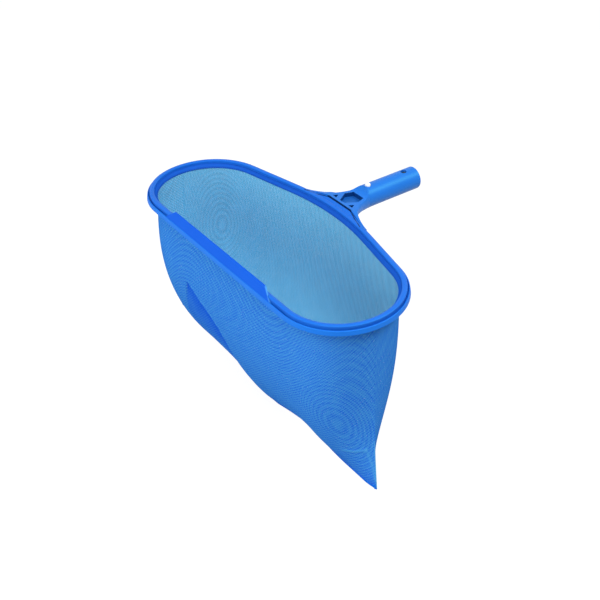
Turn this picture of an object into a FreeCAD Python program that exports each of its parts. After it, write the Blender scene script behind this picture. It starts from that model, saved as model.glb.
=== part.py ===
import FreeCAD, Part
import math
import os

# Leaf skimmer net for a pool: rim, sewn net bag, scoop lip, handle and spring clip.
# Millimetres, +Z up through the mouth, +Y towards the pole, +X along the rim's width.
# The origin is on the axis of the spigot that slides into a pole, half way along its full round wall.

V = FreeCAD.Vector
UP = V(0, 0, 1)

# Clearances
moulding_gap = 0.3        # between mouldings that are pushed together
net_gap = 0.3             # between the net and what it touches
screw_gap = 0.25          # round a screw's shank and under its head

# Rim outline, along the middle of its top bead
front_straight = 286.0    # straight front that lies on the pool's wall or floor
front_corner_r = 70.0
front_corner_turn = 72.0  # degrees turned by the front corner before the back corner takes over
back_corner_r = 78.0
back_slope = 12.5         # degrees between a back side and the front
back_straight = 77.0

# Rim channel, its heights measured down from the level of the bead's shoulders
rim_height = 10.2
rim_inner = 6.3           # from the bead's middle in to the inner wall's belly
recess_top = 1.8          # open recess between the bead's side and the outer wall, at the wall's top
outer_wall = 1.3
outer_wall_flare = 0.9    # the outer wall's face stands this much further out at the bottom
outer_wall_drop = 4.0     # the outer wall stops this far below the bead's top
floor_wall = 1.8
groove_half = 1.9         # half width of the groove that holds the net's cord
mid_wall = 1.0
mid_wall_gap = 0.2        # under the bead
inner_wall_gap = 0.8      # under the bead, for the hem to pass
belly_drop = 6.7          # where the inner wall stands furthest in
undercut = 0.8
edge_break = 0.5

# Clamping bead, pressed into the groove from above
bead_half = 3.1
bead_crown = 0.6          # the rounded top's middle, over the shoulders' level
bead_shoulder = 0.4       # where the rounded top starts, under that level
bead_tongue = 1.3         # the tongue that presses on the cord stands this far below the bead
bead_tongue_half = 0.95

# Net
cord_r = 1.1
net_thick = 0.45
hem_drop = 9.0            # the hem ends this far below the bead's top
panel_thick = 1.0
panel_height = 236.0      # from the hem to the bottom seam
bottom_half = 225.0       # half length of the bottom seam
seam_from_front = 60.0    # the bottom seam hangs this far behind the rim's front
panel_belly = 3.0         # how late a panel leaves the vertical, as a power of its depth
seam_height = 7.0
seam_thick = 2.4
side_seam_width = 4.0

# Scoop lip, a soft blade whose foot is pressed into the rim's recess
lip_base_half = 116.0
lip_top_half = 100.0
lip_rise = 7.6            # above the bead's top
lip_edge = 2.0            # width of its blunt top edge
lip_lean = 2.7            # the blade's face leans in this far over the bead's side

# Spigot, the round tube that goes into the pole
spigot_r = 15.0
spigot_wall = 2.6
spigot_length = 82.5      # full round wall, from the neck's hollow to the open end
spigot_above_bead = -2.4  # height of its axis over the bead's top
spigot_root = 3.0         # the round section runs on this far into the neck
root_swell = 0.25         # the root is this much larger in radius, to hold the pole's mouth snugly
root_start = 0.3          # the swelling starts this far past the button's hole
bore_nose = 8.0           # the bore's closed end tapers over this length
bore_tip_r = 2.0
hole_r = 4.1
inner_hole_from_root = 5.0
end_hole_from_end = 18.5
end_round = 1.2

# Yoke, the web that joins the spigot to the rim; distances back are from the bead's middle at X = 0
neck_length = 47.3        # back to the full round wall
web_rise = 3.4            # its flat top stands this far over the bead's top
hollow_r = 13.0           # round hollow between the flat top and the spigot's crown
neck_sections = (         # distance back, half width, height above and below the axis, squareness
    (40.3, 16.1, 15.0, 15.0, 2.15), (32.3, 18.4, 13.0, 13.6, 2.3), (24.3, 22.0, 10.5, 11.2, 2.6),
    (16.3, 26.4, 9.0, 9.2, 3.0), (7.8, 29.0, 9.0, 7.8, 3.6))
cap_half = 22.0           # half width of the bead's cap plate at its back edge
cap_back = 7.0
cap_tip_half = 59.0       # the cap's slanting sides run into the bead here
cap_rise = 1.2            # its back edge stands this far over the bead's top
cap_front_drop = 0.5      # and its front edge this far below it
cap_thick = 1.9
cap_gap = 0.5             # open slot between the cap and the web
arm_half = 64.0           # half span of the two arms along the rim's back
arm_foot_half = 40.0      # half span of the part of the arms below the outer wall's top
arm_level_half = 28.0     # the arms begin to slope down here
arm_fall = 0.18           # and fall this much per unit of X
arm_flank = ((50.0, 3.2), (40.0, 6.7), (32.0, 10.9), (26.0, 16.0))    # half width and distance back
top_round = 0.8           # on the web's top edges beside the rim
pocket_depth = 6.0
pocket_front = (4.6, 11.3)    # half width of the middle pocket and its distance back
pocket_wide = (14.0, 26.3)
pocket_back = (10.0, 37.3)
triangle_depth = 5.0
triangle_inner = (12.5, 11.3)
triangle_outer = (20.0, 11.8)
triangle_tip = (16.2, 17.7)
tongue_half = 19.0
tongue_length = 15.0      # beyond the rim's outer wall
tongue_thick = 3.0
tongue_drop = 5.2         # its top, below the bead's top
tongue_corner = 5.0
screw_r = 1.9
screw_head_r = 3.6
screw_head_height = 2.2
screw_length = 6.6
screw_hole_spare = 1.6    # the screw's blind hole is this much deeper, below the head's seat
screw_cross_half = 0.5    # cross recess in the head: half width, half span and depth
screw_cross_span = 2.2
screw_cross_depth = 1.3
screw_side = 12.0
screw_front = 5.5         # the outer screws, beyond the rim's outer wall
screw_back = 10.5         # the middle screw

# Spring clip inside the spigot
clip_width = 9.0
clip_thick = 1.8
clip_wall_gap = 1.3       # from the bore's crown to an arm's outer face
clip_arm_length = 34.0    # from the button's axis to the flexing root
clip_root_gap = 0.5
clip_tail = 0.4           # the strip ends this far past the button's base
button_r = 3.7
button_rise = 3.3         # above the spigot's wall
button_dome = 3.2
button_base_r = 4.4
button_base_thick = 0.8

# Worked-out sizes of the rim's section
loop_r = cord_r + net_thick                 # the hem's loop round the cord
bead_height = rim_height - floor_wall - 2 * loop_r - 2 * net_gap - bead_tongue
mid_wall_drop = bead_height + mid_wall_gap
inner_wall_drop = bead_height + inner_wall_gap
rim_top_outer = bead_half + recess_top + outer_wall    # from the bead's middle out to the wall's face
rim_outer = rim_top_outer + outer_wall_flare           # and at the bottom

# Worked-out places
bead_top = -spigot_above_bead
shoulder_y = -spigot_length / 2
end_y = spigot_length / 2
back_y = shoulder_y - neck_length


def heading_vector(degrees):
    return V(math.cos(math.radians(degrees)), math.sin(math.radians(degrees)), 0)


def outward_vector(degrees):
    return V(math.sin(math.radians(degrees)), -math.cos(math.radians(degrees)), 0)


def rim_steps():
    """The bead's middle line as steps of (heading, length, radius): straight where radius is 0.

    It runs anticlockwise from the middle of the front; every step turns left.
    """
    back_corner_turn = 180.0 - back_slope - front_corner_turn
    half = [(front_straight / 2, 0.0), (front_corner_turn, front_corner_r),
            (back_corner_turn, back_corner_r), (back_straight, 0.0)]
    x, heading = 0.0, 0.0
    for size, radius in half:
        if radius == 0:
            x += size * math.cos(math.radians(heading))
        else:
            x += radius * (math.sin(math.radians(heading + size)) - math.sin(math.radians(heading)))
            heading += size
    bow = (back_slope, x / math.sin(math.radians(back_slope)))
    sizes = half + [bow, bow] + half[::-1]
    steps, heading = [], 0.0
    for size, radius in sizes:
        steps.append((heading, size, radius))
        heading += size if radius else 0.0
    return steps


def step_end(start, heading, size, radius):
    if radius == 0:
        return start + heading_vector(heading) * size
    centre = start - outward_vector(heading) * radius
    return centre + outward_vector(heading + size) * radius


def rim_depth():
    """Distance from the front's middle line to the back's, at X = 0."""
    spot = V(0, 0, 0)
    for heading, size, radius in rim_steps()[:5]:
        spot = step_end(spot, heading, size, radius)
    return spot.y


front_y = back_y - rim_depth()


def rim_walk():
    """The steps with their start points in place."""
    walk, spot = [], V(0, front_y, bead_top)
    for heading, size, radius in rim_steps():
        walk.append((spot, heading, size, radius))
        spot = step_end(spot, heading, size, radius)
    return walk


def rim_point(travel, offset):
    """A point beside the bead's middle line: travel along it from the front's middle, offset outwards."""
    for start, heading, size, radius in rim_walk():
        length = size if radius == 0 else math.radians(size) * radius
        if travel <= length:
            part = travel / length
            turned = heading + (size * part if radius else 0)
            spot = step_end(start, heading, size * part, radius)
            return spot + outward_vector(turned) * offset
        travel -= length
    return V(0, front_y - offset, bead_top)


def rim_length():
    return sum(size if radius == 0 else math.radians(size) * radius for heading, size, radius in rim_steps())


def side_travel():
    """Travel from the front's middle to the rim's widest point, where the outline heads straight back."""
    first = math.radians(front_corner_turn) * front_corner_r
    second = math.radians(90 - front_corner_turn) * back_corner_r
    return front_straight / 2 + first + second


def section_face(edges_of, start, heading):
    """A flat face across the rim; edges_of gets a function from (outward, up) to a point."""
    out = outward_vector(heading)

    def at(outward, up):
        return start + out * outward + UP * up
    return Part.Face(Part.Wire(edges_of(at)))


def sweep_round(edges_of, inner_edges_of=None):
    """One solid ring: the section is pushed along each straight step and turned round each corner."""
    pieces = []
    for start, heading, size, radius in rim_walk():
        face = section_face(edges_of, start, heading)
        if inner_edges_of:
            face = face.cut(section_face(inner_edges_of, start, heading)).Faces[0]
        if radius == 0:
            pieces.append(face.extrude(heading_vector(heading) * size))
        else:
            centre = start - outward_vector(heading) * radius
            pieces.append(face.revolve(centre, UP, size))
    return pieces[0].fuse(pieces[1:]).removeSplitter()


def closed(points):
    """Straight edges round a list of points."""
    return Part.makePolygon(points + points[:1]).Edges


def channel_section(at):
    """Rim channel: outer wall, open recess, mid wall, cord groove and sloping inner wall."""
    groove_floor = -rim_height + floor_wall
    return closed([
        at(rim_outer - edge_break, -rim_height), at(rim_outer, -rim_height + edge_break),
        at(rim_top_outer, -outer_wall_drop - edge_break),
        at(rim_top_outer - edge_break, -outer_wall_drop), at(rim_top_outer - outer_wall, -outer_wall_drop),
        at(rim_outer - outer_wall, groove_floor), at(groove_half + mid_wall, groove_floor),
        at(groove_half + mid_wall, -mid_wall_drop), at(groove_half, -mid_wall_drop),
        at(groove_half, groove_floor), at(-groove_half, groove_floor),
        at(-groove_half, -inner_wall_drop), at(-groove_half - mid_wall, -inner_wall_drop),
        at(-rim_inner, -belly_drop), at(-rim_inner, -belly_drop - edge_break),
        at(-rim_inner + undercut, -belly_drop - edge_break - undercut),
        at(-rim_inner + undercut, -rim_height)])


def bead_section(at):
    """Clamping bead with a crowned top and the tongue that presses on the cord."""
    side = -bead_shoulder
    crown = Part.Arc(at(bead_half, side), at(0, bead_crown), at(-bead_half, side)).toShape()
    tongue_foot = -bead_height - bead_tongue
    foot = [at(-bead_half, side), at(-bead_half, -bead_height), at(-bead_tongue_half, -bead_height),
            at(-bead_tongue_half, tongue_foot), at(bead_tongue_half, tongue_foot),
            at(bead_tongue_half, -bead_height), at(bead_half, -bead_height), at(bead_half, side)]
    return [crown] + Part.makePolygon(foot).Edges


def cord_middle():
    """Height of the cord's middle, below the bead's top."""
    return -rim_height + floor_wall + net_gap + net_thick + cord_r


def hem_section(at):
    """Hem: a loop round the cord, up the groove, over the inner wall and down its slope."""
    middle = cord_middle()
    rise_in, rise_out = -loop_r + net_thick, -loop_r
    joined = middle + math.sqrt(loop_r ** 2 - rise_in ** 2)
    over = -bead_height - (inner_wall_drop - bead_height - net_thick) / 2
    hang_in, hang_out = -rim_inner - net_gap, -rim_inner - net_gap - net_thick
    shelf = -groove_half - mid_wall
    turn = Part.Arc(at(rise_in, joined), at(loop_r, middle), at(rise_out, middle)).toShape()
    strip = Part.makePolygon([
        at(rise_out, middle), at(rise_out, over - net_thick), at(shelf - net_thick / 8, over - net_thick),
        at(hang_in, -belly_drop), at(hang_in, -hem_drop), at(hang_out, -hem_drop),
        at(hang_out, -belly_drop + net_thick / 2), at(shelf - net_thick / 2, over), at(rise_in, over),
        at(rise_in, joined)])
    return [turn] + strip.Edges


def hem_bore(at):
    """The space that the cord takes in the hem's loop."""
    side = at(1, cord_middle()).sub(at(0, cord_middle()))
    return [Part.Circle(at(0, cord_middle()), side.cross(UP), cord_r + net_gap / 3).toShape()]


def cord_section(at):
    side = at(1, cord_middle()).sub(at(0, cord_middle()))
    return [Part.Circle(at(0, cord_middle()), side.cross(UP), cord_r).toShape()]


def block(x0, x1, y0, y1, z0, z1):
    return Part.makeBox(x1 - x0, y1 - y0, z1 - z0, V(x0, y0, z0))


def prism(points, z0, z1):
    """An upright prism on a plan polygon of (x, y)."""
    corners = [V(x, y, z0) for x, y in points]
    return Part.Face(Part.makePolygon(corners + corners[:1])).extrude(UP * (z1 - z0))


def mirrored(points):
    """A plan outline's right half, from front to back, with its left half added."""
    return points + [(-x, y) for x, y in reversed(points)]


def rod(x, y, z, radius, length, direction=UP):
    return Part.makeCylinder(radius, length, V(x, y, z), direction)


def back_edge(x, offset):
    """Y of a line beside the rim's back, offset outwards, at a distance x from the middle."""
    _, slope, radius = rim_steps()[4]
    bow_end = radius * math.sin(math.radians(slope))
    if abs(x) < bow_end:
        return back_y - radius + math.sqrt((radius + offset) ** 2 - x * x)
    start = back_y - radius * (1 - math.cos(math.radians(slope)))
    return start + offset / math.cos(math.radians(slope)) - (abs(x) - bow_end) * math.tan(math.radians(slope))


def tongue_edge():
    """Where the tongue and the screws measure from: the outer wall's face at X = 0."""
    return back_y + rim_outer


def screw_places():
    edge = tongue_edge()
    return [(-screw_side, edge + screw_front), (screw_side, edge + screw_front), (0, edge + screw_back)]


def tongue_block(grow, z_grow):
    """Flat tongue behind the rim's back; grown a little, it is the yoke's slot."""
    half, edge = tongue_half + grow, tongue_edge()
    tail = edge + tongue_length + grow
    outline = mirrored([(half, edge - rim_outer * 0.25), (half, tail - tongue_corner),
                        (half - tongue_corner, tail)])
    top = bead_top - tongue_drop + z_grow
    return prism(outline, top - tongue_thick - 2 * z_grow, top)


def rim_channel():
    ring = sweep_round(channel_section)
    holes = [rod(x, y, bead_top - rim_height, screw_r + screw_gap, rim_height) for x, y in screw_places()]
    return ring.fuse(tongue_block(0, 0)).cut(holes).removeSplitter()


def cap_outline(grow):
    """Plan of the cap plate behind the bead: straight back edge and slanting sides."""
    along = [cap_tip_half * part for part in (1, 0.8, 0.6, 0.4, 0.2)]
    near = [(x, back_edge(x, 0)) for x in along] + [(0, back_edge(0, 0))]
    near += [(-x, y) for x, y in reversed(near[:-1])]
    tip = (cap_tip_half, back_edge(cap_tip_half, bead_half + grow))
    corner = (cap_half + grow, back_y + cap_back + grow)
    return near + [(-tip[0], tip[1]), (-corner[0], corner[1]), corner, tip]


def cap_plate():
    """Plate that rises from the bead's crown to its back edge."""
    high, far = bead_top + cap_rise, back_y + cap_back
    slope = (cap_rise + cap_front_drop) / cap_back
    plate = prism(cap_outline(0), bead_top - bead_height, high)
    reach = 3 * cap_back

    def at(y, drop):
        return V(-2 * cap_tip_half, y, high - (far - y) * slope - drop)
    band = closed([at(far - reach, cap_thick), at(far + 1, cap_thick), at(far + 1, 0), at(far - reach, 0)])
    return plate.common(Part.Face(Part.Wire(band)).extrude(V(4 * cap_tip_half, 0, 0)))


def clamp_bead():
    """The bead all round, with the cap plate that covers the joint to the yoke."""
    return sweep_round(bead_section).fuse(cap_plate()).removeSplitter()


def net_cord():
    return sweep_round(cord_section)


def net_hem():
    return sweep_round(hem_section, hem_bore)


def scoop_lip():
    """Blade that leans in over the bead, its ends sloping from the base to the blade's edge."""
    wall_top = -outer_wall_drop + moulding_gap
    base = rim_top_outer - edge_break
    foot_out = rim_top_outer - outer_wall - moulding_gap
    foot_in = bead_half + moulding_gap
    foot_down = -rim_height + floor_wall + moulding_gap
    tip = bead_half - lip_lean
    back = tip - lip_edge
    rest = bead_crown + moulding_gap
    rest_in = back + (base - tip) * (lip_rise - rest) / (lip_rise - wall_top)

    def at(outward, up):
        return V(-lip_base_half, front_y - outward, bead_top + up)
    section = Part.Face(Part.Wire(closed([
        at(base, wall_top), at(tip, lip_rise), at(back, lip_rise), at(rest_in, rest),
        at(foot_in, rest), at(foot_in, foot_down), at(foot_out, foot_down), at(foot_out, wall_top)])))
    blade = section.extrude(V(2 * lip_base_half, 0, 0))
    bottom, top = bead_top - rim_height, bead_top + lip_rise
    level = bead_top - outer_wall_drop
    ends = [V(-lip_base_half, 0, bottom), V(lip_base_half, 0, bottom), V(lip_base_half, 0, level),
            V(lip_top_half, 0, top), V(-lip_top_half, 0, top), V(-lip_base_half, 0, level)]
    span = Part.Face(Part.Wire(closed(ends))).extrude(V(0, 4 * rim_outer, 0))
    span.translate(V(0, front_y - 2 * rim_outer, 0))
    return blade.common(span).removeSplitter()


def neck_section(back, half_width, above, below, power):
    """Closed smooth section across the neck: a rounded box whose corners square up with power."""
    middle, half_height, count, points = (above - below) / 2, (above + below) / 2, 32, []
    for i in range(count):
        turn = 2 * math.pi * i / count
        c, s = math.cos(turn), math.sin(turn)
        x = half_width * math.copysign(abs(c) ** (2 / power), c)
        z = middle + half_height * math.copysign(abs(s) ** (2 / power), s)
        points.append(V(x, back_y + back, z))
    curve = Part.BSplineCurve()
    curve.interpolate(points, PeriodicFlag=True)
    return Part.Wire(curve.toShape())


def neck():
    """From the spigot's round root to a broad shallow end against the rim."""
    circle = Part.Circle(V(0, shoulder_y - spigot_root, 0), V(0, 1, 0), spigot_r + root_swell)
    sections = [Part.Wire(circle.toShape())] + [neck_section(*sizes) for sizes in neck_sections]
    return Part.makeLoft(sections, True, False)


def arms():
    """The yoke's two arms: a plate along the rim's back whose ends slope down on to the outer wall."""
    bottom, top, low = bead_top - rim_height, bead_top + web_rise, bead_top - outer_wall_drop
    right = [V(arm_half, back_edge(arm_half, rim_top_outer), 0)]
    right += [V(x, back_y + back, 0) for x, back in arm_flank]
    middle = V(0, back_y + neck_sections[2][0], 0)
    flank = right + [middle] + [V(-p.x, p.y, 0) for p in reversed(right)]
    curve = Part.BSplineCurve()
    curve.interpolate(flank)
    front = Part.makePolygon([flank[-1], V(-arm_half, back_edge(arm_half, 0), 0), V(0, back_y, 0),
                              V(arm_half, back_edge(arm_half, 0), 0), flank[0]])
    plate = Part.Face(Part.Wire([curve.toShape()] + front.Edges))
    plate.translate(V(0, 0, bottom))
    plate = plate.extrude(UP * (top - bottom))
    for side in (-1, 1):
        foot = block(*sorted((side * arm_foot_half, side * 2 * arm_half)), back_y - neck_length,
                     back_y + neck_length, bottom - 1, low + moulding_gap)
        plate = plate.cut(foot)
    return plate


def arm_slopes():
    """Takes the yoke's top down along both arms."""
    top, reach = bead_top + web_rise, arm_half + 2
    end, cuts = top - arm_fall * (reach - arm_level_half), []
    for side in (-1, 1):
        slope = closed([V(side * arm_level_half, 0, top), V(side * reach, 0, end),
                        V(side * reach, 0, top + spigot_r), V(side * arm_level_half, 0, top + spigot_r)])
        wedge = Part.Face(Part.Wire(slope)).extrude(V(0, 2 * neck_length, 0))
        wedge.translate(V(0, back_y - neck_length, 0))
        cuts.append(wedge)
    return cuts


def rim_keepout():
    """What the yoke must clear: the channel with its gap, from below the rim to the outer wall's top."""
    wall_top = -outer_wall_drop + moulding_gap
    outer, inner, deep = rim_outer + moulding_gap, -2 * rim_inner, -2 * rim_height

    def low(at):
        return closed([at(outer, deep), at(outer, -rim_height), at(rim_top_outer + moulding_gap, wall_top),
                       at(inner, wall_top), at(inner, deep)])
    return sweep_round(low)


def cap_slot():
    """Opens the web round the cap plate, and everything on the bead's side of it."""
    grown = cap_outline(cap_gap)
    far = [(arm_half + 4, back_edge(arm_half + 4, bead_half + cap_gap)), grown[-1], grown[-2]]
    outline = mirrored([(arm_half + 4, back_y - neck_length)] + far)
    return prism(outline, bead_top - outer_wall_drop - 1, bead_top + 3 * spigot_r)


def pocket(corners, depth):
    top = bead_top + web_rise
    return prism([(x, back_y + back) for x, back in corners], top - depth, top + 1)


def web_pockets():
    """Six-sided pocket with a triangle each side, sunk into the web's flat top."""
    cuts = [pocket(mirrored([pocket_front, pocket_wide, pocket_back]), pocket_depth)]
    for side in (-1, 1):
        corners = [(side * x, back) for x, back in (triangle_inner, triangle_outer, triangle_tip)]
        cuts.append(pocket(corners, triangle_depth))
    return cuts


def flat_top():
    """Takes the neck's top off level, with a round hollow up to the spigot's crown."""
    top = bead_top + web_rise
    run = math.sqrt(hollow_r ** 2 - (hollow_r - spigot_r + top) ** 2)
    start = shoulder_y - run
    level = block(-3 * spigot_r, 3 * spigot_r, back_y - neck_length, start, top, top + 2 * spigot_r)
    hollow = rod(-3 * spigot_r, start, top + hollow_r, hollow_r, 6 * spigot_r, V(1, 0, 0))
    return level.fuse(hollow)


def spigot_bore():
    inner = spigot_r - spigot_wall
    straight = rod(0, shoulder_y, 0, inner, spigot_length + 1, V(0, 1, 0))
    nose = Part.makeCone(bore_tip_r, inner, bore_nose, V(0, shoulder_y - bore_nose, 0), V(0, 1, 0))
    return straight.fuse(nose)


def web_front_edges(body):
    """Straight level edges of the web's flat top, beside the cap plate and over the arms."""
    top, far = bead_top + web_rise, back_y + neck_sections[-2][0]
    straight = [edge for edge in body.Edges if edge.Curve.TypeId == "Part::GeomLine"]
    level = [edge for edge in straight if abs(edge.BoundBox.ZMin - top) + edge.BoundBox.ZLength < 0.01]
    return [edge for edge in level if edge.BoundBox.YMax < far]


def handle():
    bottom, root = bead_top - rim_height, shoulder_y - spigot_root
    swell = inner_hole_y() + hole_r + root_start
    spigot = rod(0, swell, 0, spigot_r, end_y - swell, V(0, 1, 0))
    rim_edges = [edge for edge in spigot.Edges if edge.BoundBox.YMin > end_y - 0.1]
    spigot = spigot.makeFillet(end_round, rim_edges)
    snug = Part.makeCone(spigot_r + root_swell, spigot_r, swell - root, V(0, root, 0), V(0, 1, 0))
    body = spigot.fuse([snug, neck(), arms()])
    body = body.cut([flat_top(), rim_keepout(), cap_slot()] + arm_slopes())
    body = body.removeSplitter()
    body = body.makeFillet(top_round, web_front_edges(body))
    body = body.cut(web_pockets())
    body = body.cut([tongue_block(moulding_gap, moulding_gap / 2), spigot_bore()])
    hole_places = (inner_hole_y(), end_y - end_hole_from_end)
    holes = [rod(0, y, -2 * spigot_r, hole_r, 4 * spigot_r) for y in hole_places]
    for x, y in screw_places():
        holes.append(rod(x, y, bottom - 1, screw_r + screw_gap, screw_length + screw_hole_spare))
        holes.append(rod(x, y, bottom - spigot_r, screw_head_r + 2 * screw_gap, spigot_r))
    return body.cut(holes).removeSplitter()


def yoke_screws():
    """Pan-head screws from below, through the yoke's lower skin and the rim's tongue."""
    under, screws = bead_top - rim_height - screw_gap, []
    for x, y in screw_places():
        head = rod(x, y, under - screw_head_height, screw_head_r, screw_head_height)
        bottom = under - screw_head_height
        low = [edge for edge in head.Edges if edge.BoundBox.ZMax < bottom + 0.1]
        head = head.makeFillet(screw_head_height * 0.5, low)
        slots = ((screw_cross_half, screw_cross_span), (screw_cross_span, screw_cross_half))
        cross = [block(x - across, x + across, y - along, y + along, bottom, bottom + screw_cross_depth)
                 for across, along in slots]
        screws.append(head.cut(cross).fuse(rod(x, y, under, screw_r, screw_length)))
    return Part.makeCompound(screws)


def inner_hole_y():
    return shoulder_y + inner_hole_from_root


def clip_face():
    """Height of a clip arm's outer face above the spigot's axis."""
    return spigot_r - spigot_wall - clip_wall_gap


def clip_root_y():
    return inner_hole_y() + clip_arm_length


def clip_bend():
    """Half-round end of the clip, joining the two arms."""
    outer, y = clip_face(), clip_root_y()
    bend = rod(-clip_width / 2, y, 0, outer, clip_width, V(1, 0, 0))
    bend = bend.cut(rod(-clip_width, y, 0, outer - clip_thick, 2 * clip_width, V(1, 0, 0)))
    return bend.common(block(-clip_width, clip_width, y, y + 2 * outer, -2 * outer, 2 * outer))


def clip_arm(side):
    """One arm with its button; side is 1 above the axis and -1 below."""
    face, y = clip_face(), inner_hole_y()
    tail = y - button_base_r - clip_tail
    root = clip_root_y() - clip_root_gap
    strip = block(-clip_width / 2, clip_width / 2, tail, root, face - clip_thick, face)
    upright = [edge for edge in strip.Edges if edge.BoundBox.YMax < tail + 0.1 and edge.BoundBox.ZLength > 1]
    strip = strip.makeFillet(clip_width * 0.3, upright)
    tip = spigot_r + button_rise
    post = rod(0, y, face - clip_thick, button_r, tip - face + clip_thick)
    crown = [edge for edge in post.Edges if edge.BoundBox.ZMin > tip - 0.1]
    post = post.makeFillet(button_dome, crown)
    base = rod(0, y, face - clip_thick - button_base_thick, button_base_r, button_base_thick)
    arm = strip.fuse([post, base]).removeSplitter()
    return arm if side > 0 else arm.mirror(V(0, 0, 0), UP)


def panel_curves(side, depth, count=19):
    """Outer points of one net panel at a depth from 0, under the hem, to 1, at the bottom seam.

    side is -1 for the front panel and 1 for the back one. The mouth's line follows the rim and
    each point is drawn towards its place on the straight bottom seam by depth to a power.
    """
    offset = -rim_inner - net_gap
    seam_y = front_y + seam_from_front
    pull, half_turn = depth ** panel_belly, side_travel()
    start, end = -half_turn, half_turn
    if side > 0:
        start, end = rim_length() - half_turn, half_turn
    points = []
    for i in range(count):
        part = 0.004 + 0.992 * i / (count - 1)
        travel = start + (end - start) * part
        mouth = rim_point(travel % rim_length(), offset)
        foot = V(bottom_half * (2 * part - 1), seam_y + side * (panel_thick + net_gap / 2), 0)
        spot = mouth * (1 - pull) + foot * pull
        drop = hem_drop + net_gap + depth * panel_height
        points.append(V(spot.x, spot.y, bead_top - drop))
    return points


def inset(points, amount, side):
    """The same line moved towards the bag's inside, square to itself."""
    moved = []
    for i, point in enumerate(points):
        before, after = points[max(i - 1, 0)], points[min(i + 1, len(points) - 1)]
        along = after.sub(before)
        along.z = 0
        along.normalize()
        moved.append(point + V(along.y, -along.x, 0) * amount * side)
    return moved


def net_panel(side):
    depths = [0, 0.15, 0.3, 0.45, 0.6, 0.72, 0.83, 0.92, 1.0]
    wires = []
    for depth in depths:
        outer = panel_curves(side, depth)
        inner = inset(outer, panel_thick, side)
        curves = []
        for line in (outer, inner[::-1]):
            curve = Part.BSplineCurve()
            curve.interpolate(line)
            curves.append(curve.toShape())
        ends = [Part.makeLine(outer[-1], inner[-1]), Part.makeLine(inner[0], outer[0])]
        wires.append(Part.Wire([curves[0], ends[0], curves[1], ends[1]]))
    return Part.makeLoft(wires, True, False)


def bottom_seam():
    """Folded seam that hangs below both panels."""
    top = bead_top - hem_drop - panel_height - 2 * net_gap
    seam_y = front_y + seam_from_front
    tape = block(-bottom_half, bottom_half, seam_y - seam_thick / 2, seam_y + seam_thick / 2,
                 top - seam_height, top)
    low = [edge for edge in tape.Edges if edge.BoundBox.ZMax < top - seam_height + 0.1
           and edge.BoundBox.XLength > bottom_half]
    return tape.makeFillet(seam_thick * 0.35, low)


def side_seam(side):
    """Sewn edge where the two panels meet at one end, from the hem down to the bottom seam."""
    wires = []
    for depth in (0.03, 0.15, 0.3, 0.45, 0.6, 0.72, 0.83, 0.92, 1.0):
        points = panel_curves(-1, depth)
        edge = points[-1] if side > 0 else points[0]
        other = panel_curves(1, depth)
        other = other[-1] if side > 0 else other[0]
        x0, y, z = edge.x + side * net_gap, (edge.y + other.y) / 2, edge.z
        x1, half = x0 + side * side_seam_width, seam_thick / 2
        corners = [V(x0, y - half, z), V(x1, y - half, z), V(x1, y + half, z), V(x0, y + half, z)]
        wires.append(Part.makePolygon(corners + corners[:1]))
    return Part.makeLoft(wires, True, False)


def save(node, shape):
    solids = shape.Solids
    print(node, "solids", len(solids), "valid", shape.isValid(), "volume", round(shape.Volume))
    shape.exportStep("parts/" + node + ".step")


def main():
    os.makedirs("parts", exist_ok=True)
    save("rim_channel", rim_channel())
    save("clamp_bead", clamp_bead())
    save("net_cord", net_cord())
    save("net_hem", net_hem())
    save("net_front_panel", net_panel(-1))
    save("net_back_panel", net_panel(1))
    save("net_bottom_seam", bottom_seam())
    save("net_left_seam", side_seam(-1))
    save("net_right_seam", side_seam(1))
    save("scoop_lip", scoop_lip())
    save("handle", handle())
    save("yoke_screws", yoke_screws())
    save("clip_bend", clip_bend())
    save("clip_arm_upper", clip_arm(1))
    save("clip_arm_lower", clip_arm(-1))


main()
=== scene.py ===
import math
import bmesh
import bpy
import numpy as np
from mathutils import Matrix, Vector


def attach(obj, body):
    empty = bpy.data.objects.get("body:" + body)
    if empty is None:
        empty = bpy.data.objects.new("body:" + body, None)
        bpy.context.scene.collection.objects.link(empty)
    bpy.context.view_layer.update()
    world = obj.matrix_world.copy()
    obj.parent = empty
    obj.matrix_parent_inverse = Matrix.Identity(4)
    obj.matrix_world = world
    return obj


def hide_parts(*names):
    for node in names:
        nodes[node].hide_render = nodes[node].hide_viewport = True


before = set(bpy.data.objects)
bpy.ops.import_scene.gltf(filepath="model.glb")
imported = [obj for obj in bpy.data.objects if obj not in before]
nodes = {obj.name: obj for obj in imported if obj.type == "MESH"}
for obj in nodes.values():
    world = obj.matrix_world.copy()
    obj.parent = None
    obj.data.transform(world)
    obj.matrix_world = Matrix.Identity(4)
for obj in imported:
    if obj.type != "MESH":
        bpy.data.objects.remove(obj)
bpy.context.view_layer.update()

# Rim outline along the middle of its top bead, in metres and degrees
front_straight = 0.286
front_corner_r = 0.070
front_corner_turn = 72.0
back_corner_r = 0.078
back_slope = 12.5
back_straight = 0.077
front_y = -0.2622828      # the bead's middle at the front
bead_top = 0.0024

# Bag
mouth_inset = 0.0064      # from the bead's middle in to the cloth at the mouth
mouth_drop = 0.0086       # the cloth comes out from under the rim this far below the bead
seam_from_front = 0.060
seam_left_x, seam_right_x = -0.2261, 0.2335
# Bottom edge of the bag as it hangs, left to right: x, and depth below the bead
seam_line = ((-0.226, -0.2298), (-0.200, -0.2378), (-0.166, -0.2398), (-0.132, -0.2398), (-0.098, -0.2374),
             (-0.0695, -0.2378), (-0.047, -0.2387), (-0.0215, -0.2427), (0.0156, -0.2533), (0.057, -0.2433),
             (0.0895, -0.2377), (0.114, -0.2376), (0.138, -0.2441), (0.166, -0.2456), (0.193, -0.2449),
             (0.219, -0.2447), (0.2335, -0.2392))
edge_smoothing = 0.008    # the edge is the mean of this line and of the line moved this far each way

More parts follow.
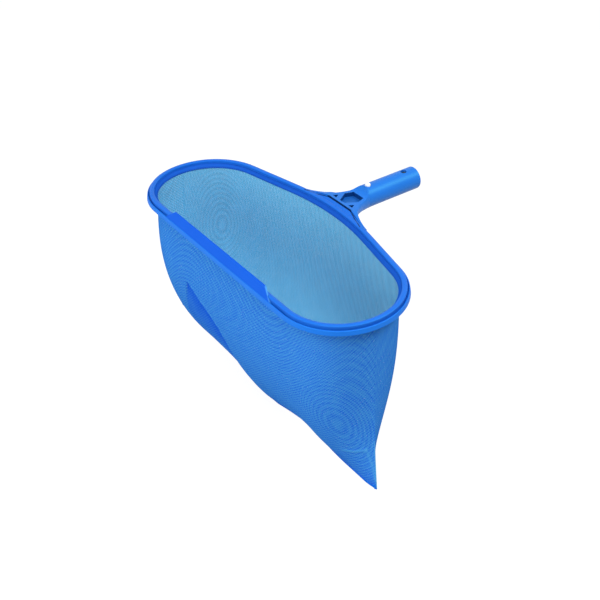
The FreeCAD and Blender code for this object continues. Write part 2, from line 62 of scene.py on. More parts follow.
# How the cloth hangs from mouth to bottom edge: side -1 is the front cloth and 1 the back cloth, and a
# pair is for the cloth's left half and its right half
hang_power = {-1: 3.78, 1: 4.0}                              # at the middle of the width
end_power = {-1: (2.4, 1.7), 1: (3.0, 3.24)}                 # towards the ends
seam_power = (2.7, 2.6)                                      # at the side seams
end_fullness = {-1: (0.0092, 0.0020), 1: (0.0040, 0.00235)}  # how far it stands out towards the ends
seam_fullness = (0.0050, 0.0022)                             # how far it stands out at the side seams
swell_rise, swell_fall = (1.40, 0.81), (2.19, 2.83)          # powers of v and of 1 - v
end_spread = 2.64         # a high power keeps the middle's way of hanging nearer to the ends
seam_zone = 0.86          # share of the half width where the seams' values start to come in


def ease(low, high, value):
    """0 below low, 1 above high, and a smooth step 3t^2 - 2t^3 between."""
    t = np.clip((value - low) / (high - low), 0, 1)
    return t * t * (3 - 2 * t)


def right_of(heading):
    """The direction a quarter turn to the right of a heading in degrees."""
    return np.array([math.sin(math.radians(heading)), -math.cos(math.radians(heading))])


def rim_steps():
    """The bead's middle line as steps of (start travel, length, start point, heading, radius).

    Straights keep their heading, and arcs turn left by their length over their radius. The back's
    middle is an arc that meets the two sloping back straights, so its radius is half the back's
    width left over by the corners, divided by the sine of the slope.
    """
    back_corner_turn = 180.0 - back_slope - front_corner_turn
    half = [(front_straight / 2, 0.0), (front_corner_turn, front_corner_r),
            (back_corner_turn, back_corner_r), (back_straight, 0.0)]
    x, heading = 0.0, 0.0
    for size, radius in half:
        if radius == 0:
            x += size * math.cos(math.radians(heading))
        else:
            x += radius * (math.sin(math.radians(heading + size)) - math.sin(math.radians(heading)))
            heading += size
    bow = (back_slope, x / math.sin(math.radians(back_slope)))
    steps, travel, spot, heading = [], 0.0, np.array([0.0, front_y]), 0.0
    for size, radius in half + [bow, bow] + half[::-1]:
        length = size if radius == 0 else math.radians(size) * radius
        steps.append((travel, length, spot, heading, radius))
        if radius == 0:
            spot = spot + size * np.array([math.cos(math.radians(heading)), math.sin(math.radians(heading))])
        else:
            centre = spot - radius * right_of(heading)
            heading += size
            spot = centre + radius * right_of(heading)
        travel += length
    return steps, travel


steps, rim_length = rim_steps()
# From the front's middle to the rim's widest place, where the side seams start
side_travel = (sum(length for _, length, _, _, _ in steps[:2])
               + math.radians(90 - front_corner_turn) * back_corner_r)


def rim_line(travel, offset):
    """Points (x, y) beside the bead's middle line, and the outward directions there, as arrays.

    The point is start + travel * heading on a straight and centre + radius * outward on an arc;
    then it moves offset along outward, which is the heading turned a quarter right.
    """
    travel = np.mod(travel, rim_length)
    turn, base = np.zeros_like(travel), np.zeros(travel.shape + (2,))
    for start, length, spot, heading, radius in steps:
        here = (travel >= start - 1e-9) & (travel <= start + length + 1e-9)
        run = travel[here] - start
        way = math.radians(heading) + (run / radius if radius else run * 0)
        turn[here] = way
        if radius:
            from_centre = radius * np.stack([np.sin(way), -np.cos(way)], -1)
            base[here] = spot - radius * right_of(heading) + from_centre
        else:
            base[here] = spot + run[..., None] * np.stack([np.cos(way), np.sin(way)], -1)
    outward = np.stack([np.sin(turn), -np.cos(turn)], -1)
    return base + outward * offset, outward


def bag_surface(side, u, v):
    """Points of one side of the bag; side is -1 for the front cloth and 1 for the back cloth.

    u runs along the cloth from the left end to the right, and v down from the mouth to the bottom
    edge. Each point moves from its place on the mouth's line to its place on the straight bottom
    edge by v to a power, which is high where the cloth hangs upright for longest. Near the ends
    the cloth stands out from the mouth's line by a fullness times v^q (1 - v)^t, scaled to peak at 1.
    Power and fullness come smoothly to the same values for both cloths at the side seams.
    """
    travel = -side_travel + 2 * side_travel * u
    if side > 0:
        travel = rim_length - side_travel + (2 * side_travel - rim_length) * u
    mouth, outward = rim_line(travel, -mouth_inset)
    foot_x = seam_left_x + (seam_right_x - seam_left_x) * u
    edge_x, edge_z = np.transpose(seam_line)
    moves = (0, -edge_smoothing, edge_smoothing)
    foot_z = sum(np.interp(foot_x + move, edge_x, edge_z) for move in moves) / len(moves)
    ends = np.abs(2 * u - 1)

    def by_half(pair, at_seam=None):
        """The left or the right value, which comes to the seam's value near the side seams."""
        own = np.where(u > 0.5, pair[1], pair[0])
        return own if at_seam is None else own + (by_half(at_seam) - own) * ease(seam_zone, 1, ends)

    power = by_half(end_power[side], seam_power)
    pull = v ** (hang_power[side] + (power - hang_power[side]) * ends ** end_spread)
    x = mouth[..., 0] * (1 - pull) + foot_x * pull
    y = mouth[..., 1] * (1 - pull) + (front_y + seam_from_front) * pull
    rise, fall = by_half(swell_rise), by_half(swell_fall)
    peak = rise / (rise + fall)
    swell = v ** rise * (1 - v) ** fall / (peak ** rise * (1 - peak) ** fall)
    out = by_half(end_fullness[side], seam_fullness) * swell * ends ** 2
    top = bead_top - mouth_drop
    z = top + (foot_z + bead_top - top) * v
    return np.stack([x + outward[..., 0] * out, y + outward[..., 1] * out, z], -1)


def grid_faces(rows, columns, round_columns=False):
    """Corner numbers of the quads between neighbouring rows and columns of a grid of points."""
    wide = columns if round_columns else columns - 1
    i, j = np.meshgrid(np.arange(rows - 1), np.arange(wide), indexing="ij")
    across = (j + 1) % columns
    here, below = i * columns, (i + 1) * columns
    return np.stack([here + j, here + across, below + across, below + j], -1).reshape(-1, 4)


def link_object(name, data):
    """A new object at the origin, in the scene."""
    thing = bpy.data.objects.new(name, data)
    bpy.context.collection.objects.link(thing)
    return thing


def make_piece(name, points, faces, material, flat=None):
    """A smooth-shaded object at the origin from an array of points and an array of quads.

    flat gives each point's place in the cloth before it was hung, in metres, as the UV map.
    """
    mesh = bpy.data.meshes.new(name)
    mesh.from_pydata(points.reshape(-1, 3).tolist(), [], faces.tolist())
    if flat is not None:
        layer = mesh.uv_layers.new(name="flat")
        corners = np.zeros(len(mesh.loops), int)
        mesh.loops.foreach_get("vertex_index", corners)
        layer.data.foreach_set("uv", flat.reshape(-1, 2)[corners].ravel())
    mesh.polygons.foreach_set("use_smooth", np.ones(len(mesh.polygons), bool))
    mesh.materials.append(material)
    mesh.update()
    return link_object(name, mesh)


def feed(tree, socket, value):
    """Gives an input a value, or links another node's output to it."""
    if isinstance(value, bpy.types.NodeSocket):
        tree.links.new(value, socket)
    else:
        socket.default_value = value


def calc(tree, operation, *values):
    """One Math node; each input is a number or another node's output."""
    node = tree.nodes.new("ShaderNodeMath")
    node.operation = operation
    for socket, value in zip(node.inputs, values):
        feed(tree, socket, value)
    return node.outputs[0]


def split(tree, vector):
    """The X, Y and Z outputs of a vector."""
    node = tree.nodes.new("ShaderNodeSeparateXYZ")
    tree.links.new(vector, node.inputs[0])
    return node.outputs


def cloudy(tree, place, scale, detail):
    """Noise from 0 to 1 over a place; its scale is a number or another node's output."""
    node = tree.nodes.new("ShaderNodeTexNoise")
    for name, value in (("Vector", place), ("Scale", scale), ("Detail", detail)):
        feed(tree, node.inputs[name], value)
    return node.outputs["Fac"]


def start_group(name, vectors, numbers, outputs):
    """An empty node group with its input and output nodes; numbers are inputs with their usual values."""
    group = bpy.data.node_groups.new(name, "ShaderNodeTree")
    for label in vectors:
        group.interface.new_socket(label, in_out="INPUT", socket_type="NodeSocketVector")
    for label, usual in numbers.items():
        group.interface.new_socket(label, in_out="INPUT", socket_type="NodeSocketFloat").default_value = usual
    for label in outputs:
        group.interface.new_socket(label, in_out="OUTPUT", socket_type="NodeSocketFloat")
    return group, group.nodes.new("NodeGroupInput").outputs, group.nodes.new("NodeGroupOutput").inputs


def use_group(tree, group, inputs):
    """The outputs of a node group put into a material, with its inputs fed."""
    node = tree.nodes.new("ShaderNodeGroup")
    node.node_tree = group
    for name, value in inputs.items():
        feed(tree, node.inputs[name], value)
    return node.outputs


net_weave = (0.0013, 0.41)      # pitch of the threads in metres, and half a thread's width as a share of it
fell_weave = (0.0008, 0.45)
thread_crown, over_under = 0.78, 0.22      # a thread's mean height, and its rise and fall at the crossings
yarn_scale = 60.0               # how finely the yarn's unevenness is drawn


def build_weave():
    """Plain weave of round threads, over and under, in the cloth's own flat places.

    A thread's turn is its flat place over the pitch; whole turns are the middles of threads. Crown is
    highest on a thread's middle and falls to 0 at its edge as the root of 1 - (distance / half width)^2,
    and a wave along the thread, of opposite sign on neighbours, takes it over one crossing and under
    the next. Cover is 1 on threads and 0 in the holes, and Yarn is an uneven value from 0 to 1.
    """
    group, given, found = start_group("net_weave", ["Flat"], dict(zip(("Pitch", "Half Width"), net_weave)),
                                      ["Cover", "Crown", "Yarn"])
    flat = split(group, given["Flat"])
    turns = [calc(group, "DIVIDE", flat[axis], given["Pitch"]) for axis in ("X", "Y")]
    whole = [calc(group, "ROUND", turn) for turn in turns]
    covers, heights = [], []
    for own, other, swing in ((0, 1, over_under), (1, 0, -over_under)):
        aside = calc(group, "ABSOLUTE", calc(group, "SUBTRACT", turns[own], whole[own]))
        share = calc(group, "DIVIDE", aside, given["Half Width"])
        left_over = calc(group, "SUBTRACT", 1.0, calc(group, "MULTIPLY", share, share))
        round_top = calc(group, "SQRT", calc(group, "MAXIMUM", left_over, 0.0))
        waves = [calc(group, "COSINE", calc(group, "MULTIPLY", turn, math.pi))
                 for turn in (whole[own], turns[other])]
        level = calc(group, "MULTIPLY_ADD", calc(group, "MULTIPLY", *waves), swing, thread_crown)
        heights.append(calc(group, "MULTIPLY", round_top, level))
        covers.append(calc(group, "LESS_THAN", share, 1.0))
    feed(group, found["Cover"], calc(group, "MAXIMUM", *covers))
    feed(group, found["Crown"], calc(group, "MAXIMUM", *heights))
    feed(group, found["Yarn"], cloudy(group, given["Flat"], yarn_scale, 3.0))
    return group


def build_ripple():
    """Watered look of fine net over net: the sum of three waves, each depth times cos(2 pi turns).

    Dash gives the turns along and down, and the depth, of cos * cos, which breaks the waves into dashes.
    """
    fields = ("Turns", "Depth", "Dash")
    group, given, found = start_group("net_ripple", fields, {}, ["Ripple"])
    turns, depth, dash = [split(group, given[name]) for name in fields]

    def wave(turn):
        return calc(group, "COSINE", calc(group, "MULTIPLY", turn, 2 * math.pi))

    total = 0.0
    for axis in ("X", "Y", "Z"):
        total = calc(group, "MULTIPLY_ADD", wave(turns[axis]), depth[axis], total)
    dots = calc(group, "MULTIPLY", wave(dash["X"]), wave(dash["Y"]))
    feed(group, found["Ripple"], calc(group, "MULTIPLY_ADD", dots, dash["Z"], total))
    return group


def build_moulding():
    """Skin of a moulding: a faint cloudy tone, and the fine pebbled height of the mould's finish."""
    group, given, found = start_group("moulded_skin", ["Place"], {"Cloud Scale": 18.0, "Grain Scale": 900.0},
                                      ["Tone", "Grain", "Height"])
    tone = cloudy(group, given["Place"], given["Cloud Scale"], 2.0)
    grain = cloudy(group, given["Place"], given["Grain Scale"], 3.0)
    feed(group, found["Tone"], tone)
    feed(group, found["Grain"], grain)
    feed(group, found["Height"], calc(group, "ADD", calc(group, "MULTIPLY", tone, 0.6),
                                      calc(group, "MULTIPLY", grain, 0.4)))
    return group


# The handle's recesses, in metres along the handle (y) and aside from its middle (x)
pocket_from, pocket_to = -0.0778, -0.0508
side_pocket_to = -0.0705        # up to here the outer pockets lie beside the middle one
pocket_half = 0.0146            # how far aside the middle pocket reaches
side_pocket_more = 0.0065       # how much further the outer ones do
pocket_floor = 0.0048           # inside the pockets, a floor lies lower than this
pocket_shade_share = 0.85             # how much of the painted shade a pocket's wall takes
floor_shade_share = 0.4               # and a floor's share of that
bore_radius, bore_from = 0.0126, -0.0412
cap_corner = np.array([0.0222, -0.0813])      # the ends of the cap plate's slanting edge
cap_tip = np.array([0.059, -0.0948])
slot_width, slot_end = 0.0013, 0.058


def build_recess():
    """Where the handle's recesses are, for the painted shade in them.

    Pocket is 1 on the pockets' walls and less on their floors, and Slot is 1 in the slot beside the
    cap plate. A pocket wall stands upright, inside the web's edges and behind the rim, and the bore's wall is
    nearer to the spigot's axis than its outside is. The slot is where the greatest of the distances
    past the cap plate's back and slanting edges is within its half width.
    """
    group, given, found = start_group("recesses", ["Place", "Normal"], {"Slot Width": slot_width},
                                      ["Pocket", "Slot"])
    place, normal = split(group, given["Place"]), split(group, given["Normal"])
    aside, back = calc(group, "ABSOLUTE", place["X"]), place["Y"]

    def below(value, limit):
        return calc(group, "LESS_THAN", value, limit)

    def above(value, limit):
        return calc(group, "GREATER_THAN", value, limit)

    def both(first, second):
        return calc(group, "MULTIPLY", first, second)

    upright = below(calc(group, "ABSOLUTE", normal["Z"]), 0.5)
    reach = calc(group, "MULTIPLY_ADD", below(back, side_pocket_to), side_pocket_more, pocket_half)
    inside = both(both(above(back, pocket_from), below(back, pocket_to)), below(aside, reach))
    from_axis = calc(group, "SQRT", calc(group, "MULTIPLY_ADD", aside, aside, both(place["Z"], place["Z"])))
    bore = both(below(from_axis, bore_radius), above(back, bore_from))
    walls = both(calc(group, "MAXIMUM", upright, both(below(place["Z"], pocket_floor), floor_shade_share)), inside)
    feed(group, found["Pocket"], calc(group, "MAXIMUM", walls, bore))
    run = (cap_tip - cap_corner) / np.hypot(*(cap_tip - cap_corner))
    past_back = calc(group, "SUBTRACT", back, float(cap_corner[1]))
    from_corner = float(run[1] * cap_corner[0] - run[0] * cap_corner[1])
    past_side = calc(group, "MULTIPLY_ADD", aside, float(-run[1]), from_corner)
    past_side = calc(group, "MULTIPLY_ADD", back, float(run[0]), past_side)
    gap = calc(group, "ABSOLUTE", calc(group, "MAXIMUM", past_back, past_side))
    feed(group, found["Slot"], both(below(gap, both(given["Slot Width"], 0.5)), below(aside, slot_end)))
    return group


weave = build_weave()
ripple = build_ripple()
moulding = build_moulding()
recess = build_recess()


def from_hex(code):
    """A colour written as sRGB hex, as the linear values that a shader reads."""
    values = [int(code[i:i + 2], 16) / 255 for i in (1, 3, 5)]
    return tuple(v / 12.92 if v <= 0.04045 else ((v + 0.055) / 1.055) ** 2.4 for v in values) + (1.0,)


def start_material(name):
    """A new material, its nodes and its shader."""
    material = bpy.data.materials.new(name)
    material.use_nodes = True
    tree = material.node_tree
    return material, tree, tree.nodes["Principled BSDF"]


def blend_colour(tree, factor, first, second):
    """The colour between two, each a hex code or another node's output: first at 0, second at 1."""
    blend = tree.nodes.new("ShaderNodeMix")
    blend.data_type = "RGBA"
    tree.links.new(factor, blend.inputs[0])
    for place, colour in ((6, first), (7, second)):      # the node's two colour inputs
        feed(tree, blend.inputs[place], from_hex(colour) if isinstance(colour, str) else colour)
    return blend.outputs[2]


def recolour(material, mask, code):
    """The material's base colour turns to a hex colour where the mask is 1."""
    tree = material.node_tree
    colour = tree.nodes["Principled BSDF"].inputs["Base Color"]
    tree.links.new(blend_colour(tree, mask, colour.links[0].from_socket, code), colour)


def add_bump(tree, shader, height, strength, distance):
    """The shader's normal from a height, which is distance metres where it is 1."""
    bump = tree.nodes.new("ShaderNodeBump")
    for name, value in (("Strength", strength), ("Distance", distance), ("Height", height)):
        feed(tree, bump.inputs[name], value)
    tree.links.new(bump.outputs["Normal"], shader.inputs["Normal"])


grain_swing = 0.12              # how far the grain moves the roughness, half of it each way


def moulded(name, dark, light, rough, sheen=0.5, tint=(1.0, 1.0, 1.0, 1.0), metal=0.0):
    """Moulded plastic, or metal: cloudy tone in the colour, grain in the roughness and the height."""
    material, tree, shader = start_material(name)
    place = tree.nodes.new("ShaderNodeTexCoord").outputs["Object"]
    skin = use_group(tree, moulding, {"Place": place})
    colour = blend_colour(tree, skin["Tone"], dark, light)
    roughness = calc(tree, "MULTIPLY_ADD", skin["Grain"], grain_swing, rough - grain_swing / 2)
    for socket, value in (("Base Color", colour), ("Roughness", roughness), ("Specular IOR Level", sheen),
                          ("Specular Tint", tint), ("Metallic", metal)):
        feed(tree, shader.inputs[socket], value)
    add_bump(tree, shader, skin["Height"], 0.5, 0.00002)
    return material


def netting(name, outer, inner=None):
    """Woven cloth with its pattern in the UV map: the net where inner is given, and else a close fell.

    outer and inner are the (edge, crown) hex colours of its two faces: painted shade at the threads' edges
    and a painted highlight on their crowns, and the inner face's paler pair is painted light for the lit
    inside of the bag. The net's tone ripples and takes the creases' painted light and shade, and its holes
    are see-through, but less so where the cloth is gathered.
    """
    material, tree, shader = start_material(name)
    flat = tree.nodes.new("ShaderNodeUVMap")
    flat.uv_map = "flat"
    pitch, half_width = net_weave if inner else fell_weave
    cloth = use_group(tree, weave, {"Flat": flat.outputs["UV"], "Pitch": pitch,
                                    "Half Width": half_width})
    # Painted highlight on the threads' crowns and painted shade at their edges, as the tone that the colours
    # blend by
    crown_shading = calc(tree, "MULTIPLY_ADD", cloth["Crown"], 0.75, -0.02)
    tone = calc(tree, "MULTIPLY_ADD", cloth["Yarn"], 0.25, crown_shading)

    def field(label):
        """The outputs that read one of the mesh's own attributes."""
        node = tree.nodes.new("ShaderNodeAttribute")
        node.attribute_name = label
        return node.outputs

    if inner:
        back = tree.nodes.new("ShaderNodeNewGeometry").outputs["Backfacing"]
        waves = use_group(tree, ripple, {part: field("ripple_" + part.lower())["Vector"]
                                         for part in ("Turns", "Depth", "Dash")})
        # Painted light and shade of the cloth: the outer face's in X and the inner face's in Y
        light = split(tree, field("painted_light_shade")["Vector"])
        painted_tone = calc(tree, "MULTIPLY_ADD", back, calc(tree, "SUBTRACT", light["Y"], light["X"]), light["X"])
        tone = calc(tree, "ADD", calc(tree, "ADD", tone, waves["Ripple"]), painted_tone)
        alpha = calc(tree, "MAXIMUM", cloth["Cover"], field("gather")["Fac"])
        tree.links.new(alpha, shader.inputs["Alpha"])
    colour = blend_colour(tree, tone, *outer)
    if inner:
        colour = blend_colour(tree, back, colour, blend_colour(tree, tone, *inner))
    tree.links.new(colour, shader.inputs["Base Color"])
    add_bump(tree, shader, cloth["Crown"], 0.3, 0.0001)
    shader.inputs["Roughness"].default_value = 0.62
    shader.inputs["Specular IOR Level"].default_value = 0.0
    return material


# Finishes
blue_tint = (0.2, 1.0, 0.5, 1.0)      # of the mouldings' sheen
rim_blue = moulded("rim_blue", "#1862D0", "#1E6CDA", 0.46, 0.4, blue_tint)
handle_blue = moulded("handle_blue", "#1C6CD0", "#2272DA", 0.42, 0.5, blue_tint)
# Painted light: the rim channel's copy of the moulded blue is lighter than the bead's, for the light on the
# rim's far inner slope
lit_channel_blue = moulded("lit_channel_blue", "#1C70DC", "#2278E4", 0.5, 0.22, blue_tint)
lip_blue = moulded("lip_blue", "#0C54D2", "#125CDA", 0.6, 0.22, blue_tint)
cord_blue = moulded("cord_blue", "#1E4CB0", "#2454BC", 0.5, 0.22, blue_tint)
clip_white = moulded("clip_white", "#E6EDF2", "#F4F8FA", 0.4)
thread_blue = moulded("thread_blue", "#1C5AD0", "#2A6AE0", 0.6)
screw_steel = moulded("screw_steel", "#9FA3A8", "#C4C8CC", 0.3, metal=1.0)

# Painted shade: the pockets' walls (less on their floors), the bore and the slot beside the cap plate turn
# towards #001E60, for the shade that falls in them
for material in (handle_blue, rim_blue):
    tree = material.node_tree
    place = tree.nodes.new("ShaderNodeTexCoord").outputs["Object"]
    facing = tree.nodes.new("ShaderNodeNewGeometry").outputs["True Normal"]
    hollow = use_group(tree, recess, {"Place": place, "Normal": facing})
    recess_shade = calc(tree, "MAXIMUM", calc(tree, "MULTIPLY", hollow["Pocket"], pocket_shade_share), hollow["Slot"])
    recolour(material, recess_shade, "#001E60")

# Painted highlight: the lip's end face that faces +X is lighter, where light falls on it
tree = lip_blue.node_tree
lip_normal = split(tree, tree.nodes.new("ShaderNodeNewGeometry").outputs["True Normal"])
recolour(lip_blue, calc(tree, "MULTIPLY", calc(tree, "GREATER_THAN", lip_normal["X"], 0.3), 0.8), "#4C98E4")

seam_colours = ("#0C50B4", "#1E78E0")
net_blue = netting("net_blue", ("#0248D8", "#489ADE"), ("#5286B2", "#78D2F4"))
fell_blue = netting("fell_blue", seam_colours)
# Painted light: a paler copy of the fell's colour, for the roll that lies in the lit inside of the bag
lit_fell = netting("lit_fell", ("#3C90C8", "#5CB4E4"))
seam_blue = netting("seam_blue", seam_colours)
# Painted shade: the hem band's colours are darker than the net's, for the shade under the rim
shaded_band_blue = netting("shaded_band_blue", ("#1046A8", "#2264D0"))

for node, material in (("rim_channel", lit_channel_blue), ("clamp_bead", rim_blue), ("net_cord", cord_blue),
                       ("scoop_lip", lip_blue), ("handle", handle_blue), ("yoke_screws", screw_steel),
                       ("clip_bend", clip_white), ("clip_arm_upper", clip_white),
                       ("clip_arm_lower", clip_white)):
    for slot in nodes[node].material_slots:
        slot.material = material

# Ripples as powers of the place in decimetres from the cloth's middle and down from its mouth
front_waves = {(0, 1): 3.443, (0, 2): 2.221, (0, 3): 0.679, (1, 0): -5.614, (1, 1): -1.07, (1, 2): 0.889,
               (2, 0): -0.785, (2, 1): 1.01, (3, 0): 2.901}
back_waves = {(0, 1): -1.105, (0, 2): -1.013, (0, 3): -0.794, (1, 0): 9.246, (1, 1): 0.305, (1, 2): -0.611,
              (2, 0): -2.361, (2, 1): -0.24, (3, 0): 0.413}
front_crowding = 1.65                                        # the front's waves lie this much closer
ring_middle = {-1: (0.1914, 0.1481), 1: (-0.2005, 0.0905)}   # middle of the rings, along and down, in metres
slant_start = (0.228, 0.0595)                                # a place where a slanting line has its crest
slant_turns = (161.0, 171.0)                                 # slanting lines to a metre along, and down


def ring_turns(reach, first, near):
    """Turns of rings round a spot: reach^2 / first near it, flattening to even rings beyond near."""
    return 2 * near ** 2 / first * (np.sqrt(1 + (reach / near) ** 2) - 1)


def watered(side, along, down):
    """Turns, depths and dashes of the ripples that net over net shows: long waves, rings, slanting lines.

    The rings are ovals: reach is the distance from their middle in millimetres, with each of the
    oval's two directions divided by its length.
    """
    waves = front_waves if side < 0 else back_waves
    long_wave = sum(share * (10 * along) ** i * (10 * down) ** j for (i, j), share in waves.items())
    aside, below = 1000 * (along - ring_middle[side][0]), 1000 * (down - ring_middle[side][1])
    if side < 0:
        long_wave = front_crowding * long_wave
        reach = np.hypot((0.967 * aside + 0.719 * below) / 1.768, (0.729 * aside - 0.443 * below) / 1.202)
        rings = 1.2 * ring_turns(reach, 168.0, 26.0)
        in_rings = 1 - ease(34, 54, reach)
        slant = slant_turns[0] * (along - slant_start[0]) + slant_turns[1] * (down - slant_start[1])
        # The slanting lines lie at the upper right, and the long waves left of them, outside the rings
        in_slant = ease(0.180, 0.220, along) * (1 - ease(0.085, 0.115, down)) * (1 - in_rings)
        in_long = (1 - in_rings) * (1 - ease(0.175, 0.22, along))
        depth = (0.13 * in_long, 0.13 * in_rings, 0.14 * in_slant)
        sway = 0.2 * np.sin(2 * np.pi * long_wave)
        dash = (along / 0.0044 + sway, down / 0.0040 - sway, 0.38)
    else:
        aside, below = aside / 1.42, below / 1.6
        reach = np.hypot(aside / 0.62, below)
        rings = ring_turns(reach, 120.0, 13.0)
        in_rings = (1 - ease(50, 64, reach)) * (1 - ease(18, 27, np.abs(aside)))
        slant = 0 * rings
        depth = (0.06 * (1 - in_rings) * (1 - 0.6 * ease(0.10, 0.14, down)), 0.10 * in_rings, slant)
        dash = (along / 0.0052, down / 0.016, 0.09 * (1 - 0.6 * in_rings))
    return [np.stack(np.broadcast_arrays(*field), -1) for field in ((long_wave, rings, slant), depth, dash)]


def distance_to(path, along, down):
    """Distance in metres from each flat place to a path of straight runs, and the side it lies on.

    A run's nearest point is its start + share * run, with the share held between 0 and 1; the side is
    the sign of the cross product of the run and the way from that point to the place.
    """
    best, side_of = np.full(along.shape, 9.0), np.zeros(along.shape)
    for (x0, y0), (x1, y1) in zip(path[:-1], path[1:]):
        run = np.array([x1 - x0, y1 - y0])
        share = np.clip(((along - x0) * run[0] + (down - y0) * run[1]) / (run @ run), 0, 1)
        ex, ey = along - x0 - share * run[0], down - y0 - share * run[1]
        gap = np.hypot(ex, ey)
        side_of = np.where(gap < best, np.sign(run[0] * ey - run[1] * ex), side_of)
        best = np.minimum(best, gap)
    return best, side_of


# Creases as flat places on the front cloth, and their sizes in metres
fold_edge = ((-0.1010, 0.0900), (-0.0880, 0.0985), (-0.0745, 0.1085), (-0.0560, 0.1190), (-0.0370, 0.1330),
             (-0.0250, 0.1520), (-0.0170, 0.1750), (-0.0040, 0.2100), (0.0180, 0.2480))
ear_creases = (((0.1830, 0.2010), (0.2010, 0.1930), (0.2190, 0.1830)),
               ((0.2190, 0.1830), (0.2240, 0.2030), (0.2268, 0.2240)))
fold_depth, fold_width = 0.0022, 0.05
brim_height, brim_width = 0.0010, 0.003      # the fold's raised edge
ridge_height, ridge_width = 0.0009, 0.0019   # the ear's creases


def creases(side, along, down):
    """How far the cloth's creases lift it, how much painted light and shade they get, and how closely they
    gather it.

    The fold at the left is a step across fold_edge, down inside it, and fades towards the bottom. Its
    edge and each crease of the ear are ridges, exp(-(distance / width)^2).
    """
    lift, light, gather = along * 0, along * 0, along * 0
    if side < 0:
        gap, side_of = distance_to(fold_edge, along, down)
        # The fold lies beyond its edge and to the right of a slanting line through its upper end
        inside = ease(-0.0012, 0.0022, gap * side_of) * ease(-0.1018, -0.0998, along + 0.40 * (down - 0.0925))
        fade = 1 - ease(0.148, 0.205, down)
        lift -= fold_depth * inside * np.exp(-(gap / fold_width) ** 2) * (0.4 + 0.6 * fade)
        lift += brim_height * np.exp(-(gap / brim_width) ** 2) * ease(-0.103, -0.099, along)
        # Painted shade inside the fold, deepest near its edge and fading towards the bottom
        light -= inside * (0.20 + 0.26 * np.exp(-(gap / 0.03) ** 2)) * (0.35 + 0.65 * fade)
        gather += 0.9 * inside * fade
        for path in ear_creases:
            ridge = np.exp(-(distance_to(path, along, down)[0] / ridge_width) ** 2)
            lift += ridge_height * ridge
            # Painted highlight along each crease of the ear
            light += 0.34 * ridge
    return lift, light, gather


cloth_columns, cloth_rows = 361, 201


def bag_cloth(side, name):
    """One side of the bag as a grid of bag_surface points, moved along their normals by the creases.

    Its flat places are the length along each row from the middle, and the length down each column.
    """
    rows, columns = cloth_rows, cloth_columns
    u, v = np.meshgrid(np.linspace(0, 1, columns), np.linspace(0, 1, rows))
    points = bag_surface(side, u, v)
    along = np.cumsum(np.linalg.norm(np.diff(points, axis=1), axis=-1), axis=1)
    along = np.concatenate([np.zeros((rows, 1)), along], 1)
    along = along - along[:, columns // 2][:, None]
    down = np.cumsum(np.linalg.norm(np.diff(points, axis=0), axis=-1), axis=0)
    down = np.concatenate([np.zeros((1, columns)), down], 0)
    lift, light, gather = creases(side, along, down)
    normal = np.cross(np.gradient(points, axis=1), np.gradient(points, axis=0))
    normal /= np.linalg.norm(normal, axis=-1, keepdims=True)
    outward = np.sign(side * normal[rows // 2, columns // 2, 1])
    # The creases die out at the side seams and at the bottom edge
    points = points + normal * outward * (lift * np.sin(np.pi * u) ** 0.2 * (1 - v ** 12))[..., None]
    faces = grid_faces(rows, columns)
    if side < 0:
        faces = faces[:, ::-1]
    piece = make_piece(name, points, faces, net_blue, np.stack([along, down], -1))
    turns, depth, dash = watered(side, along, down)
    from_foot = 1 - v
    # Painted light and shade: the front cloth darkens towards its bottom edge and its inner face takes 0.3 of
    # its painted light and shade; the back cloth's inner face is lighter further down and darker towards the
    # right
    if side < 0:
        light = light - 0.14 * np.exp(-(from_foot / 0.09) ** 2) - 0.2 * np.exp(-(from_foot / 0.012) ** 2)
        inner = 0.3 * light
    else:
        inner = 0.17 * ease(0.06, 0.17, down) - 0.07 * ease(0.08, 0.20, along)
    gather = np.maximum(gather, 0.6 * np.exp(-(from_foot / 0.03) ** 2))
    depth = depth * (1 - 0.8 * gather)[..., None]
    dash[..., 2] *= 1 - 0.5 * gather
    fields = {"gather": gather, "painted_light_shade": np.stack([light, inner, 0 * light], -1),
              "ripple_turns": turns, "ripple_depth": depth, "ripple_dash": dash}
    for label, values in fields.items():
        kind, part = ("FLOAT", "value") if values.ndim == 2 else ("FLOAT_VECTOR", "vector")
        piece.data.attributes.new(label, kind, "POINT").data.foreach_set(part, values.ravel())
    return piece


front_cloth = bag_cloth(-1, "front_cloth")
back_cloth = bag_cloth(1, "back_cloth")


def close_ends(piece):
    """Merges the points that meet where a form closes, and turns its faces outwards."""
    shape = bmesh.new()
    shape.from_mesh(piece.data)
    bmesh.ops.remove_doubles(shape, verts=shape.verts, dist=1e-7)
    bmesh.ops.recalc_face_normals(shape, faces=shape.faces)
    shape.to_mesh(piece.data)
    shape.free()
    return piece


def with_height(line, height):
    """Flat points (x, y) at one height."""
    return np.concatenate([line, np.full((len(line), 1), height)], 1)


def ring_piece(name, profile, material, columns=900):
    """A closed band swept round the rim: the profile is rows of (outward, up) from the bead's middle."""
    travel = np.linspace(0, rim_length, columns, endpoint=False)
    rows = [with_height(rim_line(travel, outward)[0], bead_top + up) for outward, up in profile]
    points = np.stack(rows + rows[:1])
    run = np.concatenate([[0], np.cumsum(np.linalg.norm(np.diff(profile, axis=0), axis=1))])
    run = np.append(run, run[-1] + 0.001)
    flat = np.stack(np.broadcast_arrays(travel[None], run[:, None]), -1)
    return close_ends(make_piece(name, points, grid_faces(len(points), columns, True), material, flat))


hem_profile = [(-0.0027, -0.0039), (-0.0031, -0.0036), (-0.0067, -0.0065), (-0.0069, -0.0070),
               (-0.0070, -0.0088), (-0.0066, -0.0090), (-0.0065, -0.0070), (-0.0063, -0.0067),
               (-0.0030, -0.0041)]
hem_band = ring_piece("hem_band", hem_profile, shaded_band_blue)


def unit(vectors):
    """Each vector made one long."""
    return vectors / np.linalg.norm(vectors, axis=-1, keepdims=True)


bottom_roll_size = (0.0009, 0.0014)      # half a roll's width and half its height
side_roll_size = (0.0006, 0.0009)
roll_sides = 12


